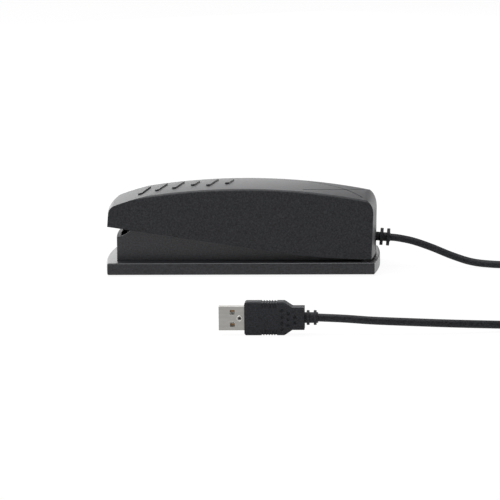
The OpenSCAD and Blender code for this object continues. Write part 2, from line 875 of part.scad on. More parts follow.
module switch_terminals() {
  color([0.85, 0.75, 0.5]) for (i = [-1, 0, 1])
    translate([switch_x + i * terminal_spacing, 0, switch_low - terminal_length / 2])
      difference() {
        cube([terminal_width, terminal_thickness, terminal_length], center = true);
        rotate([90, 0, 0]) cylinder(h = 2, r = 0.7, center = true);
      }
}

module switch_screws() {
  color([0.7, 0.7, 0.72]) at_switch_screws() {
    translate([0, 0, -switch_half - small_head_height]) cylinder(h = small_head_height, r = small_head_radius);
    translate([0, 0, -switch_half]) cylinder(h = switch_thickness + bracket_thickness - 0.5, r = small_radius);
  }
}

module return_spring() {
  color([0.72, 0.72, 0.74]) tube(spring_path, spring_wire / 2, wire_sides);
}

module circuit_board() {
  color([0.1, 0.35, 0.2]) difference() {
    translate([board_x - board_length / 2, -board_half_y, board_low])
      cube([board_length, 2 * board_half_y, board_thickness]);
    at_board_screws() cylinder(h = reach, r = small_radius + small_clear);
  }
}

module board_screws() {
  color([0.7, 0.7, 0.72]) at_board_screws() {
    translate([0, 0, board_top]) cylinder(h = small_head_height, r = small_head_radius);
    translate([0, 0, board_top - board_screw_length]) cylinder(h = board_screw_length, r = small_radius);
  }
}

module controller_chip() {
  lead_width = 0.5;
  lead_pitch = 1.1;
  lead_reach = 1;
  color([0.08, 0.08, 0.08]) translate([chip_x, 0, board_top]) {
    translate([-chip_size / 2, -chip_size / 2, 0]) cube([chip_size, chip_size, chip_height]);
    for (turn = [0 : 90 : 270])
      for (i = [-3 : 3])
        rotate([0, 0, turn]) translate([chip_size / 2 - past, i * lead_pitch - lead_width / 2, 0])
          cube([lead_reach + past, lead_width, 0.4]);
  }
}

module board_parts() {
  can_radius = 2;
  can_height = 4;
  color([0.7, 0.65, 0.5]) translate([0, 0, board_top]) {
    for (y = [-4, 5])
      translate([board_x - 11, y, 0]) cylinder(h = can_height, r = can_radius);
    translate([board_x + 4.5, 4, 0]) cube([1.8, 3, 1]);
    translate([board_x + 4.5, -2, 0]) cube([1.8, 3, 1]);
    translate([board_x - 2, 8, 0]) cube([4.5, 2, 2]);
    translate([board_x - 6, -10, 0]) cube([3, 1.8, 1]);
    translate([header_x - 1, header_y - 1.5, 0]) cube([2, 3 * header_pitch + 3, header_height]);
    for (i = [0, 1])
      translate([header_x, pad_y + i * pad_pitch, 0]) cylinder(h = pad_height, r = pad_radius);
  }
}

// Two insulated wires from two terminals to the board's pads
module switch_wires() {
  lug_z = floor_top + 2.2;
  face_y = -terminal_thickness / 2 - wire_radius;
  edge_x = board_x + board_length / 2;
  color([0.6, 0.1, 0.1]) {
    tube(smooth([
      [switch_x - terminal_spacing, face_y, lug_z],
      [switch_x - terminal_spacing - 3, face_y, lug_z],
      [switch_x - terminal_spacing - 6, 2.5, lug_z + 0.8],
      [edge_x + 4, pad_y + pad_pitch - 2.4, board_top + 0.6],
      [edge_x + 0.5, pad_y + pad_pitch - 0.4, board_top + 1.5],
      [header_x, pad_y + pad_pitch, board_top + pad_height + wire_radius]
    ], 3), wire_radius, wire_sides);
    tube(smooth([
      [switch_x, face_y, lug_z],
      [switch_x - terminal_spacing / 2, face_y - 1.2, lug_z],
      [switch_x - terminal_spacing - 1, face_y - 1.4, lug_z],
      [switch_x - terminal_spacing - 5, face_y - 0.4, lug_z + 0.2],
      [switch_x - terminal_spacing - 8, 1.6, lug_z + 1.2],
      [edge_x + 3, pad_y - 1.8, board_top + 0.7],
      [edge_x, pad_y - 0.3, board_top + 1.5],
      [header_x, pad_y, board_top + pad_height + wire_radius]
    ], 3), wire_radius, wire_sides);
  }
}

// Jacket end of the lead inside the housing
module cord_tail() {
  color([0.12, 0.12, 0.12]) translate([tail_end, 0, relief_z]) rotate([0, 90, 0])
    cylinder(h = tail_length, r = cord_radius);
}

// Four conductors, one above the other along the switch and side by side at the header
module cord_wires() {
  tight = 1;
  loose = 1.2;
  lead_out = 1.5;
  touch = 0.06;
  color([0.1, 0.2, 0.6]) for (i = [0 : 3])
    let (level = i - 1.5, row_y = header_y + (3 - i) * header_pitch, row_z = board_top + 1.6)
      tube(smooth([
        [tail_end - touch, 0, relief_z + level * tight],
        [tail_end - lead_out, 0, relief_z + level * tight],
        [tail_end - 4.5, -2.6, relief_z + level * loose],
        [switch_x + 8, -7, relief_z + level * loose],
        [switch_x - 4, -8, relief_z + level * loose],
        [header_x + 8, row_y, row_z],
        [header_x + 1, row_y, row_z]
      ], 3), wire_radius, wire_sides);
}

// Moulded sleeve, flanged on both sides of the rear wall, with a tail that droops
module strain_relief() {
  color([0.12, 0.12, 0.12]) {
    translate([relief_in - relief_inner_length, 0, relief_z]) rotate([0, 90, 0]) {
      cylinder(h = relief_inner_length, r = relief_inner_flange);
      cylinder(h = relief_root - relief_in + relief_inner_length, r = relief_neck);
    }
    translate([relief_out, 0, relief_z]) rotate([0, 90, 0])
      cylinder(h = relief_outer_length, r = relief_flange / 2);
    translate([relief_root, 0, relief_z]) rotate([0, 90 + relief_droop, 0]) {
      translate([0, 0, -0.5]) cylinder(h = relief_tail + 0.5, r = relief_core);
      for (x = [relief_flange_first, relief_flange_second])
        translate([0, 0, x - relief_flange_length / 2])
          cylinder(h = relief_flange_length, r = relief_flange / 2);
    }
  }
}

module cord_run() {
  color([0.12, 0.12, 0.12]) tube(smooth(run_points, 2), cord_radius, cord_sides);
}

module cord_coil() {
  color([0.12, 0.12, 0.12]) tube(coil_path, cord_radius, coil_sides);
}

module plug_run() {
  color([0.12, 0.12, 0.12]) tube(smooth(plug_points, 2), cord_radius, cord_sides);
}

// Strap around the coil on its -X side
module tie_outline(grow) {
  low = coil_inner - 2 - tie_clear - grow;
  high = coil_outer + 2 + tie_clear + grow;
  floor_z = tie_thickness - grow;
  top_z = coil_high + 2 + tie_clear + grow;
  round = tie_round + grow;
  translate([low + round, floor_z]) square([high - low - 2 * round, top_z - floor_z]);
  translate([low, floor_z + round]) square([high - low, top_z - floor_z - 2 * round]);
  for (x = [low + round, high - round])
    for (z = [floor_z + round, top_z - round])
      translate([x, z]) circle(round);
}

module cord_tie() {
  color([0.08, 0.08, 0.08]) translate([coil_centre[0], coil_centre[1], 0]) mirror([1, 0, 0])
    along_y(tie_width) difference() {
      tie_outline(tie_thickness);
      tie_outline(0);
    }
}

// Steel tube of the plug, with two windows in each broad side
module plug_shell() {
  length = shell_length + shell_hold;
  color([0.8, 0.8, 0.82]) translate([plug_tip, plug_y, plug_z]) difference() {
    translate([0, -shell_thickness / 2, -shell_width / 2]) cube([length, shell_thickness, shell_width]);
    translate([-past, shell_wall - shell_thickness / 2, shell_wall - shell_width / 2])
      cube([length + 2 * past, shell_thickness - 2 * shell_wall, shell_width - 2 * shell_wall]);
    for (z = [-window_spread, window_spread])
      translate([window_from_tip, 0, z]) cube([window_size, 2 * shell_thickness, window_size], center = true);
  }
}

module plug_tongue() {
  color([0.9, 0.9, 0.88]) translate([plug_tip + tongue_back, plug_y, plug_z])
    difference() {
      translate([0, tongue_offset, -tongue_width / 2])
        cube([shell_length + shell_hold - tongue_back, tongue_thickness, tongue_width]);
      for (i = [-1.5 : 1.5])
        translate([contact_inset - tongue_back, tongue_offset - past, i * contact_pitch - contact_width / 2])
          cube([contact_length, contact_thickness + past, contact_width]);
    }
}

module plug_contacts() {
  color([0.85, 0.7, 0.3]) translate([plug_tip, plug_y + tongue_offset, plug_z])
    for (i = [-1.5 : 1.5])
      translate([contact_inset, 0, i * contact_pitch - contact_width / 2])
        cube([contact_length, contact_thickness, contact_width]);
}

// Side outline of the grip in X and Z about the plug's axis
module grip_outline() {
  half = grip_width / 2;
  round = 1.4;
  polygon([[grip_start, -half + round], [grip_start + round, -half], [grip_taper_start, -half],
    [grip_taper_end, -grip_neck], [grip_end, -grip_neck], [grip_end, grip_neck], [grip_taper_end, grip_neck],
    [grip_taper_start, half], [grip_start + round, half], [grip_start, half - round]]);
  for (s = [-1, 1])
    translate([grip_start + round, s * (half - round)]) circle(round);
}

// Section of the grip across its length, with rounded long edges
module grip_section() {
  w = grip_thickness / 2 - grip_round;
  h = grip_width / 2 - grip_round;
  for (y = [-w, w])
    for (z = [-h, h])
      translate([y, z]) circle(grip_round);
  square([grip_thickness, 2 * h], center = true);
  square([2 * w, grip_width], center = true);
}

module plug_overmould() {
  color([0.14, 0.14, 0.15]) translate([0, plug_y, plug_z]) difference() {
    union() {
      intersection() {
        along_y(2 * grip_thickness) grip_outline();
        rotate([90, 0, 90]) linear_extrude(2 * reach) grip_section();
      }
      translate([grip_end - past, 0, 0]) rotate([0, 90, 0])
        cylinder(h = plug_relief_length + past, r = plug_relief_core);
      for (i = [0 : 1])
        translate([grip_end + plug_relief_gap + i * (plug_relief_rib_length + 2 * plug_relief_gap), 0, 0])
          rotate([0, 90, 0]) cylinder(h = plug_relief_rib_length, r = plug_relief_rib);
    }
    translate([grip_start - past, -shell_thickness / 2 - shell_fit, -shell_width / 2 - shell_fit])
      cube([shell_hold + past, shell_thickness + 2 * shell_fit, shell_width + 2 * shell_fit]);
    for (i = [0 : grip_groove_count - 1])
      for (s = [-1, 1])
        translate([grip_groove_start + i * grip_groove_pitch, 0, s * grip_width / 2]) rotate([90, 0, 0])
          cylinder(h = 2 * grip_thickness, r = grip_groove, center = true);
  }
}

base_plate();
rubber_feet();
base_screws();
base_housing();
hinge_pins();
return_spring();
pedal_cover();
switch_body();
switch_lever();
switch_plunger();
switch_terminals();
switch_screws();
switch_wires();
circuit_board();
controller_chip();
board_parts();
board_screws();
cord_tail();
cord_wires();
strain_relief();
cord_run();
cord_coil();
cord_tie();
plug_run();
plug_overmould();
plug_shell();
plug_tongue();
plug_contacts();
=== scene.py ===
# Foot pedal switch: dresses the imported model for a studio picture. Metres, same frame as the solids.
import math

import bpy
from mathutils import Matrix, Vector


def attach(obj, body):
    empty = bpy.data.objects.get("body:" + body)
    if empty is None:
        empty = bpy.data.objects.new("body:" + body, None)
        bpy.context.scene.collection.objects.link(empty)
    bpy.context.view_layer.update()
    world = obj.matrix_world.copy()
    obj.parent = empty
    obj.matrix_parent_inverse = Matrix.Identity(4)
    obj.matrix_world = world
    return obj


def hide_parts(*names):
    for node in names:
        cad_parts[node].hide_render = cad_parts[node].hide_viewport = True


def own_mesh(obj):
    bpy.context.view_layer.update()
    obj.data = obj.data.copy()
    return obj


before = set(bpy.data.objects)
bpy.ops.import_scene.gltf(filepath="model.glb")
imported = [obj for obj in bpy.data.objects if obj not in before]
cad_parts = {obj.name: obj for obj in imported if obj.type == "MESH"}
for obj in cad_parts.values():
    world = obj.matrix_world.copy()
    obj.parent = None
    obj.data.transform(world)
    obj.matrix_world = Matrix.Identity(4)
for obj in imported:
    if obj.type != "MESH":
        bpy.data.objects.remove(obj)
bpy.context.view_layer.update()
MM = 0.001

# Camera, as the photograph was taken: long lens, low, a little to the cord's side
LENS_MM = 324.0
SENSOR_MM = 36.0
AZIMUTH = math.radians(3.2)
ELEVATION = math.radians(8.5)
ROLL = math.radians(-0.64)
DISTANCE = 2.4509
AIM = Vector((0.00327, 0.0, 0.00949))
CLIP_END = 20

# Lead: the same route as the solids, in millimetres
RELIEF_END = (79.754, 0.0, 16.354)
RUN = [RELIEF_END, (84, 0, 15.9), (92, 0, 14.2), (102, -0.5, 10.8), (113, -1.5, 6.4), (124, -3, 3.1),
       (136, -5, 2), (150, -8, 2), (165, -12, 2), (180, -18, 2), (194, -27, 2), (205, -40, 2),
       (211, -56, 2.2), (213.5, -74, 2.6), (213.75, -92, 3), (213.75, -108, 3)]
PLUG_RUN = [(213.75, -108, 16.8), (213.75, -122, 16.8), (213, -134, 15.5), (210.5, -148, 10.5),
            (205, -162, 5.5), (196, -176, 2.8), (183, -189, 2), (166, -200, 2), (148, -208.5, 2.7),
            (130, -214.5, 4), (112, -218, 5.1), (94, -219.3, 6), (76, -219.5, 6.8), (62, -219.5, 7.8),
            (49, -219.5, 8.4)]
COIL_CENTRE = (186.0, -108.0)
COIL_TURNS = 10
COIL_LAYERS = 4
COIL_INNER = 16.25
COIL_OUTER = 27.75
COIL_LOW = 3.0
COIL_LAYER = 4.6
COIL_CLIMB = 0.15
CORD_DIAMETER = 4.0

# Wires and spring inside the tray, on the same lines as the solids, in millimetres
SWITCH_WIRES = [
    [(27, -0.75, 11.4), (24, -0.75, 11.4), (21, 2.5, 12.2), (18, 7.2, 15.4), (14.5, 9.2, 16.3),
     (11.5, 9.6, 15.85)],
    [(35, -0.75, 11.4), (31, -1.95, 11.4), (26, -2.15, 11.4), (22, -1.15, 11.6), (19, 1.6, 12.6),
     (17, 5.2, 15.5), (14, 6.7, 16.3), (11.5, 7, 15.85)]]
WIRE_DIAMETER = 0.9
CORD_WIRES = 4
TAIL_Z = 17.4
TAIL_PITCH = 1.0
FAN_PITCH = 1.2
HEADER_Y = -9.0
HEADER_Z = 16.4
HEADER_PITCH = 1.8
SPRING_X = -34.0
SPRING_LOW = 10.0
SPRING_RADIUS = 5.5
SPRING_CURLS = 8
SPRING_OPEN_RISE = 19.5
SPRING_END_RISE = 1.5
SPRING_WIRE = 1.0

# Points along a line, and sides of its round section
ROUTE_STEPS = 6
COIL_STEPS = 36
CURL_STEPS = 32
CORD_SIDES = 16
WIRE_SIDES = 12

# Clean-up and softening of the copied solids
WELD = 0.00002
FLAT = math.radians(0.05)
CREASE = math.radians(32)
WIRE_CREASE = math.radians(50)
PLATE_EDGE = 0.0011
MOULDED_EDGE = 0.0004
SMALL_EDGE = 0.0002
FINE_EDGE = 0.0001
SHEET_EDGE = 0.00008
EDGE_STEPS = 2

# Studio. Lamps: name, place, size in metres, power in watts
FLOOR_SIZE = 40
FLOOR_TONE = 0.82
FLOOR_GLOW = 0.93
WORLD_LIGHT = 0.45
LAMP_AIM = Vector((0, 0, 0.02))
LAMPS = [("overhead", (-0.2, -0.1, 0.9), 0.9, 11.0),
         ("back", (-0.45, 1.1, 0.45), 1.1, 6.2),
         ("heel_side", (1.1, 1.0, 0.45), 0.9, 13.0),
         ("toe_side", (-1.2, 1.2, 0.5), 1.2, 20.0),
         ("left", (-1.3, -0.2, 0.35), 0.7, 3.0)]


def added(name, data):
    """A new object in the scene, at the origin."""
    obj = bpy.data.objects.new(name, data)
    bpy.context.scene.collection.objects.link(obj)
    return obj


def only(obj):
    """Leaves one object selected and active."""
    bpy.ops.object.select_all(action="DESELECT")
    obj.select_set(True)
    bpy.context.view_layer.objects.active = obj


def place_camera():
    """Looks at the pedal from the photograph's side, with its small roll."""
    right = Vector((math.cos(AZIMUTH), math.sin(AZIMUTH), 0))
    back = Vector((math.sin(AZIMUTH) * math.cos(ELEVATION), -math.cos(AZIMUTH) * math.cos(ELEVATION),
                   math.sin(ELEVATION)))
    up = back.cross(right)
    side = right * math.cos(ROLL) + up * math.sin(ROLL)
    top = up * math.cos(ROLL) - right * math.sin(ROLL)
    data = bpy.data.cameras.new("camera")
    data.lens = LENS_MM
    data.sensor_width = SENSOR_MM
    data.clip_end = CLIP_END
    camera = added("camera", data)
    turn = Matrix((side, top, back)).transposed()
    camera.matrix_world = Matrix.Translation(AIM + back * DISTANCE) @ turn.to_4x4()
    bpy.context.scene.camera = camera


# Lines of the lead, the wires and the spring, in millimetres

def smooth_route(points):
    """Points on a smooth line through the route's points."""
    at = [Vector(p) for p in points]
    line = []
    for i in range(len(at) - 1):
        a, b, c, d = at[max(0, i - 1)], at[i], at[i + 1], at[min(len(at) - 1, i + 2)]
        for s in range(ROUTE_STEPS):
            t = s / ROUTE_STEPS
            line.append(0.5 * (2 * b + (c - a) * t + (2 * a - 5 * b + 4 * c - d) * t ** 2
                               + (3 * b - a - 3 * c + d) * t ** 3))
    return line + [at[-1]]


def coil_route():
    """The wound length: flat layers that go in and out by turns."""
    layer_turns = COIL_TURNS / COIL_LAYERS
    climb_start = 1 - COIL_CLIMB / layer_turns
    way = COIL_OUTER - COIL_INNER
    line = []
    for i in range(COIL_TURNS * COIL_STEPS + 1):
        turn = i / COIL_STEPS
        layer = min(COIL_LAYERS - 1, int(turn / layer_turns))
        part = turn / layer_turns - layer
        last = layer == COIL_LAYERS - 1
        share = part if last else min(1, part / climb_start)
        rise = 0 if last or part < climb_start else (part - climb_start) / (1 - climb_start)
        radius = COIL_OUTER - way * share if layer % 2 == 0 else COIL_INNER + way * share
        angle = -2 * math.pi * turn
        line.append(Vector((COIL_CENTRE[0] + radius * math.cos(angle),
                            COIL_CENTRE[1] + radius * math.sin(angle),
                            COIL_LOW + COIL_LAYER * (layer + rise))))
    return line


def cord_wire(i):
    """One conductor: from the cord's tail past the switch to its place on the board."""
    level = i - (CORD_WIRES - 1) / 2
    tail_z = TAIL_Z + level * TAIL_PITCH
    fan_z = TAIL_Z + level * FAN_PITCH
    row_y = HEADER_Y + (CORD_WIRES - 1 - i) * HEADER_PITCH
    return [(52.34, 0, tail_z), (50.9, 0, tail_z), (47.9, -2.6, fan_z), (43, -7, fan_z), (31, -8, fan_z),
            (19.5, row_y, HEADER_Z), (12.5, row_y, HEADER_Z)]


def spring_route():
    """The spring's curls, the first and last closed up."""
    line = []
    for i in range(SPRING_CURLS * CURL_STEPS + 1):
        share = i / CURL_STEPS
        if share < 1:
            rise = SPRING_END_RISE * share
        elif share > SPRING_CURLS - 1:
            rise = SPRING_END_RISE + SPRING_OPEN_RISE + SPRING_END_RISE * (share - SPRING_CURLS + 1)
        else:
            rise = SPRING_END_RISE + SPRING_OPEN_RISE * (share - 1) / (SPRING_CURLS - 2)
        angle = 2 * math.pi * share
        line.append(Vector((SPRING_X + SPRING_RADIUS * math.cos(angle), SPRING_RADIUS * math.sin(angle),
                            SPRING_LOW + rise)))
    return line


def round_line(name, line, diameter, sides):
    """A curve of one open spline with a round section, from points in millimetres."""
    curve = bpy.data.curves.new(name, "CURVE")
    curve.dimensions = "3D"
    curve.bevel_depth = diameter / 2 * MM
    curve.bevel_resolution = sides // 2 - 2
    curve.use_fill_caps = True
    spline = curve.splines.new("POLY")
    spline.points.add(len(line) - 1)
    for point, at in zip(spline.points, line):
        point.co = (*(at * MM), 1)
        point.radius = 1
    spline.use_smooth = True
    return added(name, curve)


# Materials

def empty_tree(owner):
    """The emptied nodes and links of a material or a world."""
    owner.use_nodes = True
    owner.node_tree.nodes.clear()
    return owner.node_tree.nodes, owner.node_tree.links


def new_material(name):
    """A material of one plain shader, with its nodes, links and shader."""
    material = bpy.data.materials.new(name)
    nodes, links = empty_tree(material)
    output = nodes.new("ShaderNodeOutputMaterial")
    shader = nodes.new("ShaderNodeBsdfPrincipled")
    links.new(shader.outputs["BSDF"], output.inputs["Surface"])
    return material, nodes, links, shader


def vary_tone(nodes, links, shader, value, low, high, start, end):
    """Base colour from the low to the high tone, while the value goes from start to end."""
    tone = nodes.new("ShaderNodeValToRGB")
    tone.color_ramp.elements[0].position = start
    tone.color_ramp.elements[0].color = (*low, 1)
    tone.color_ramp.elements[1].position = end
    tone.color_ramp.elements[1].color = (*high, 1)
    links.new(value, tone.inputs["Fac"])
    links.new(tone.outputs["Color"], shader.inputs["Base Color"])


def vary_polish(nodes, links, shader, value, low, high):
    """Roughness from low to high with the value."""
    polish = nodes.new("ShaderNodeMapRange")
    polish.inputs["To Min"].default_value = low
    polish.inputs["To Max"].default_value = high
    links.new(value, polish.inputs["Value"])
    links.new(polish.outputs["Result"], shader.inputs["Roughness"])


def moulded_plastic(name, low, high, rough, grain, depth, gloss=0.3):
    """Moulded plastic with an eroded fine grain: speckled tone, uneven polish and a pitted surface."""
    speckle_detail, speckle_roughness = 3, 0.65
    tone_start, tone_end = 0.34, 0.66
    polish_spread = 0.08
    pits_per_grain, pit_strength = 0.7, 0.6
    material, nodes, links, shader = new_material(name)
    where = nodes.new("ShaderNodeTexCoord").outputs["Object"]
    speckle = nodes.new("ShaderNodeTexNoise")
    speckle.inputs["Scale"].default_value = 1 / grain
    speckle.inputs["Detail"].default_value = speckle_detail
    speckle.inputs["Roughness"].default_value = speckle_roughness
    links.new(where, speckle.inputs["Vector"])
    value = speckle.outputs["Fac"]
    vary_tone(nodes, links, shader, value, low, high, tone_start, tone_end)
    vary_polish(nodes, links, shader, value, rough - polish_spread, rough + polish_spread)
    pits = nodes.new("ShaderNodeTexVoronoi")
    pits.feature = "SMOOTH_F1"
    pits.inputs["Scale"].default_value = pits_per_grain / grain
    links.new(where, pits.inputs["Vector"])
    bump = nodes.new("ShaderNodeBump")
    bump.inputs["Strength"].default_value = pit_strength
    bump.inputs["Distance"].default_value = depth
    links.new(pits.outputs["Distance"], bump.inputs["Height"])
    links.new(bump.outputs["Normal"], shader.inputs["Normal"])
    shader.inputs["Specular IOR Level"].default_value = gloss
    return material


def plated_metal(name, low, high, rough, streak=(1, 1, 1)):
    """Plated or drawn metal with faint streaks."""
    marks_per_metre, marks_detail = 900, 4
    tone_start, tone_end = 0.3, 0.7
    smoother, rougher = 0.05, 0.08
    material, nodes, links, shader = new_material(name)
    where = nodes.new("ShaderNodeTexCoord").outputs["Object"]
    stretch = nodes.new("ShaderNodeMapping")
    stretch.inputs["Scale"].default_value = streak
    links.new(where, stretch.inputs["Vector"])
    marks = nodes.new("ShaderNodeTexNoise")
    marks.inputs["Scale"].default_value = marks_per_metre
    marks.inputs["Detail"].default_value = marks_detail
    links.new(stretch.outputs["Vector"], marks.inputs["Vector"])
    value = marks.outputs["Fac"]
    vary_tone(nodes, links, shader, value, low, high, tone_start, tone_end)
    vary_polish(nodes, links, shader, value, rough - smoother, rough + rougher)
    shader.inputs["Metallic"].default_value = 1
    return material


def charcoal(share):
    """The dark and light tone of a black moulding, with a touch of blue."""
    dark = (0.0079 * share, 0.0082 * share, 0.0098 * share)
    light = (0.036 * share, 0.0371 * share, 0.0434 * share)
    return dark, light


# Pieces

def coat(obj, material):
    """Gives a piece its material."""
    obj.data.materials.clear()
    obj.data.materials.append(material)


def dressed(node, name, body, material, edge=SMALL_EDGE, cutter=None):
    """A merged, softened copy of a solid, which shows in its place. The cutter is sunk into it."""
    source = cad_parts[node]
    piece = added(name, source.data.copy())
    only(piece)
    bpy.ops.object.mode_set(mode="EDIT")
    bpy.ops.mesh.select_all(action="SELECT")
    bpy.ops.mesh.remove_doubles(threshold=WELD)
    bpy.ops.mesh.dissolve_limited(angle_limit=FLAT)
    bpy.ops.object.mode_set(mode="OBJECT")
    if cutter:
        cut = piece.modifiers.new("cut", "BOOLEAN")
        cut.operation = "DIFFERENCE"
        cut.object = cutter
        bpy.ops.object.modifier_apply(modifier="cut")
        bpy.data.objects.remove(cutter)
    bevel = piece.modifiers.new("edge", "BEVEL")
    bevel.width = edge
    bevel.segments = EDGE_STEPS
    bevel.limit_method = "ANGLE"
    bevel.angle_limit = CREASE
    bpy.ops.object.modifier_apply(modifier="edge")
    bpy.ops.object.shade_smooth_by_angle(angle=CREASE)
    even = piece.modifiers.new("even", "WEIGHTED_NORMAL")
    even.keep_sharp = True
    even.mode = "FACE_AREA_WITH_ANGLE"
    bpy.ops.object.modifier_apply(modifier="even")
    coat(piece, material)
    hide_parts(node)
    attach(piece, body)
    return piece


def grip_marks():
    """Cutter for the grip's near face: dimples in columns, and short grooves up to both narrow edges."""
    face_y = -223.5
    narrow_edges = (0, 16.8)
    # Columns: x, middle height, pitch and count
    columns = ((31.2, 7.75, 3.2, 4), (34.3, 8.05, 2.8, 3), (37.6, 7.75, 2.8, 2))
    sides, rings = 20, 12
    dimple_radius, dimple_out = 0.85, 0.2
    groove_radius, groove_out, groove_length = 0.45, 0.1, 5.6
    groove_start, groove_pitch, groove_count = 21.5, 1.35, 6
    marks = []
    bpy.ops.object.select_all(action="DESELECT")
    for x, middle, pitch, count in columns:
        for i in range(count):
            at = Vector((x, face_y - dimple_out, middle + (i - (count - 1) / 2) * pitch)) * MM
            bpy.ops.mesh.primitive_uv_sphere_add(segments=sides, ring_count=rings,
                                                 radius=dimple_radius * MM, location=at)
            marks.append(bpy.context.active_object)
    for i in range(groove_count):
        for z in narrow_edges:
            at = Vector((groove_start + i * groove_pitch, face_y - groove_out, z)) * MM
            bpy.ops.mesh.primitive_cylinder_add(vertices=sides, radius=groove_radius * MM,
                                                depth=groove_length * MM, location=at)
            marks.append(bpy.context.active_object)
    for mark in marks:
        mark.select_set(True)
    bpy.ops.object.join()
    return bpy.context.active_object


def turned_near(name, at):
    """Turns the new shape to the near side, moves it into place and keeps that as its mesh."""
    piece = bpy.context.active_object
    bpy.ops.transform.rotate(value=math.radians(90), orient_axis="X", center_override=(0, 0, 0))
    bpy.ops.transform.translate(value=at)
    bpy.ops.object.transform_apply()
    piece.name = name
    return piece


def shell_detent():
    """A round punched catch in the shell's near face: a rim in brighter nickel as painted highlight, and
    a black cone in its middle as painted shade.
    """
    at = Vector((10.05, -221.75, 8.4)) * MM
    rim_radius, rim_round = 1.25, 0.2
    cup_wide, cup_narrow, cup_height = 0.75, 0.3, 0.14
    sides, rim_sides = 32, 10
    bpy.ops.object.select_all(action="DESELECT")
    bpy.ops.mesh.primitive_torus_add(major_radius=rim_radius * MM, minor_radius=rim_round * MM,
                                     major_segments=sides, minor_segments=rim_sides)
    ring = turned_near("shell_detent", at)
    bpy.ops.object.shade_smooth()
    # The rim takes a brighter copy of the shell's nickel: painted highlight.
    coat(ring, shell_painted_highlight)
    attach(ring, "base")
    bpy.ops.mesh.primitive_cone_add(vertices=sides, radius1=cup_wide * MM, radius2=cup_narrow * MM,
                                    depth=cup_height * MM)
    cup = turned_near("detent_painted_shade", at)
    # The cone is black: painted shade in the middle of the catch.
    coat(cup, chip_black)
    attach(cup, "base")
    return ring, cup


def wired(name, lines, diameter, node, material):
    """Round wires as one mesh in place of a solid."""
    wires = [round_line(name, line, diameter, WIRE_SIDES) for line in lines]
    bpy.ops.object.select_all(action="DESELECT")
    for wire in wires:
        wire.select_set(True)
    bpy.context.view_layer.objects.active = wires[0]
    bpy.ops.object.convert(target="MESH")
    if len(wires) > 1:
        bpy.ops.object.join()
    bpy.ops.object.shade_smooth_by_angle(angle=WIRE_CREASE)
    piece = bpy.context.active_object
    piece.name = name
    coat(piece, material)
    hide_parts(node)
    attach(piece, "base")
    return piece


# Studio

def largest(nodes, links, *values):
    """The largest of several values."""
    result = values[0]
    for value in values[1:]:
        step = nodes.new("ShaderNodeMath")
        step.operation = "MAXIMUM"
        links.new(result, step.inputs[0])
        links.new(value, step.inputs[1])
        result = step.outputs["Value"]
    return result


def mixed(nodes, links, share, first, second, output):
    """Sends a mix of two shaders to the output."""
    mix = nodes.new("ShaderNodeMixShader")
    links.new(share, mix.inputs["Fac"])
    links.new(first, mix.inputs[1])
    links.new(second, mix.inputs[2])
    links.new(mix.outputs["Shader"], output.inputs["Surface"])


def lay_floor():
    """Pale paper that takes soft shadows and otherwise shows white."""
    bpy.ops.object.select_all(action="DESELECT")
    bpy.ops.mesh.primitive_plane_add(size=FLOOR_SIZE, location=(0, 0, 0))
    floor = bpy.context.active_object
    floor.name = "floor"
    material = bpy.data.materials.new("floor_paper")
    nodes, links = empty_tree(material)
    output = nodes.new("ShaderNodeOutputMaterial")
    paper = nodes.new("ShaderNodeBsdfDiffuse")
    paper.inputs["Color"].default_value = (FLOOR_TONE, FLOOR_TONE, FLOOR_TONE, 1)
    glow = nodes.new("ShaderNodeEmission")
    glow.inputs["Color"].default_value = (1, 1, 1, 1)
    ray = nodes.new("ShaderNodeLightPath").outputs
    seen = largest(nodes, links, ray["Is Camera Ray"], ray["Is Glossy Ray"], ray["Is Transmission Ray"])
    share = nodes.new("ShaderNodeMath")
    share.operation = "MULTIPLY"
    share.inputs[1].default_value = FLOOR_GLOW
    links.new(seen, share.inputs[0])
    mixed(nodes, links, share.outputs["Value"], paper.outputs["BSDF"], glow.outputs["Emission"], output)
    floor.data.materials.append(material)


def set_world():
    """White where the camera sees it, dimmer as a light."""
    world = bpy.data.worlds.new("studio")
    bpy.context.scene.world = world
    nodes, links = empty_tree(world)
    output = nodes.new("ShaderNodeOutputWorld")
    light = nodes.new("ShaderNodeBackground")
    light.inputs["Color"].default_value = (1, 1, 1, 1)
    light.inputs["Strength"].default_value = WORLD_LIGHT
    shown = nodes.new("ShaderNodeBackground")
    shown.inputs["Color"].default_value = (1, 1, 1, 1)
    shown.inputs["Strength"].default_value = 1
    ray = nodes.new("ShaderNodeLightPath").outputs
    seen = largest(nodes, links, ray["Is Camera Ray"], ray["Is Transmission Ray"])
    mixed(nodes, links, seen, light.outputs["Background"], shown.outputs["Background"], output)


def hang_lamps():
    """Soft square lamps above, behind and at the left, turned to the object."""
    for name, place, size, power in LAMPS:
        data = bpy.data.lights.new(name, "AREA")
        data.shape = "SQUARE"
        data.size = size
        data.energy = power
        lamp = added(name, data)
        lamp.location = place
        lamp.rotation_euler = (LAMP_AIM - Vector(place)).to_track_quat("-Z", "Y").to_euler()


place_camera()

route = smooth_route(RUN)[:-1] + coil_route()[:-1] + smooth_route(PLUG_RUN)
lead = round_line("lead", route, CORD_DIAMETER, CORD_SIDES)

